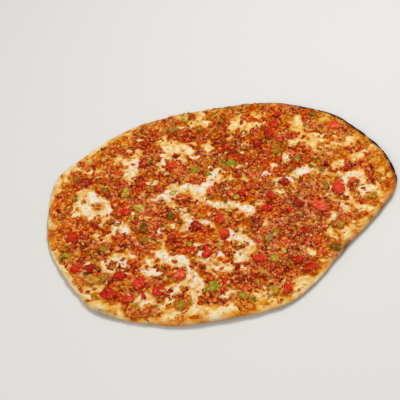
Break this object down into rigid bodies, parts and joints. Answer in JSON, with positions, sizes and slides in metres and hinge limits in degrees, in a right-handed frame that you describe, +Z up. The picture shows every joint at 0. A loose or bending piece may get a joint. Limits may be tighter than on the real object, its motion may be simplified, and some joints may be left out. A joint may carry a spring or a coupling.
{
  "type": "lahmacun",
  "caption": "Thin oval flatbread baked with a patchy crumbly spread of minced meat, with diced tomato and green pepper.",
  "frame": {"origin": "centre of the bounding box on the surface that the bread rests on", "axes": "+X along the oval's length to the right as seen by the eater, +Y away from the eater, +Z up out of the topping"},
  "size_m": [0.3, 0.2499, 0.0098],
  "materials": {
    "baked_dough": "matt baked dough, floury, toasted at the rim",
    "minced_meat": "oily crumbly cooked mince with pepper paste",
    "tomato": "wet glossy cooked tomato and red pepper",
    "green_pepper": "moist olive green cooked pepper"
  },
  "bodies": {
    "root": {"flatbread": "baked_dough", "meat_topping": "minced_meat", "tomato_01": "tomato", "tomato_02": "tomato", "tomato_03": "tomato", "tomato_04": "tomato", "tomato_05": "tomato", "tomato_06": "tomato", "tomato_07": "tomato", "tomato_08": "tomato", "tomato_09": "tomato", "tomato_10": "tomato", "tomato_11": "tomato", "tomato_12": "tomato", "tomato_13": "tomato", "tomato_14": "tomato", "tomato_15": "tomato", "tomato_16": "tomato", "tomato_17": "tomato", "tomato_18": "tomato", "tomato_19": "tomato", "tomato_20": "tomato", "tomato_21": "tomato", "tomato_22": "tomato", "tomato_23": "tomato", "tomato_24": "tomato", "tomato_25": "tomato", "tomato_26": "tomato", "tomato_27": "tomato", "tomato_28": "tomato", "tomato_29": "tomato", "tomato_30": "tomato", "tomato_31": "tomato", "tomato_32": "tomato", "green_pepper_01": "green_pepper", "green_pepper_02": "green_pepper", "green_pepper_03": "green_pepper", "green_pepper_04": "green_pepper", "green_pepper_05": "green_pepper", "green_pepper_06": "green_pepper", "green_pepper_07": "green_pepper", "green_pepper_08": "green_pepper", "green_pepper_09": "green_pepper", "green_pepper_10": "green_pepper", "green_pepper_11": "green_pepper", "green_pepper_12": "green_pepper", "green_pepper_13": "green_pepper", "green_pepper_14": "green_pepper", "green_pepper_15": "green_pepper", "green_pepper_16": "green_pepper", "green_pepper_17": "green_pepper", "green_pepper_18": "green_pepper", "green_pepper_19": "green_pepper", "green_pepper_20": "green_pepper", "green_pepper_21": "green_pepper", "green_pepper_22": "green_pepper", "green_pepper_23": "green_pepper", "green_pepper_24": "green_pepper", "green_pepper_25": "green_pepper"}
  },
  "joints": []
}
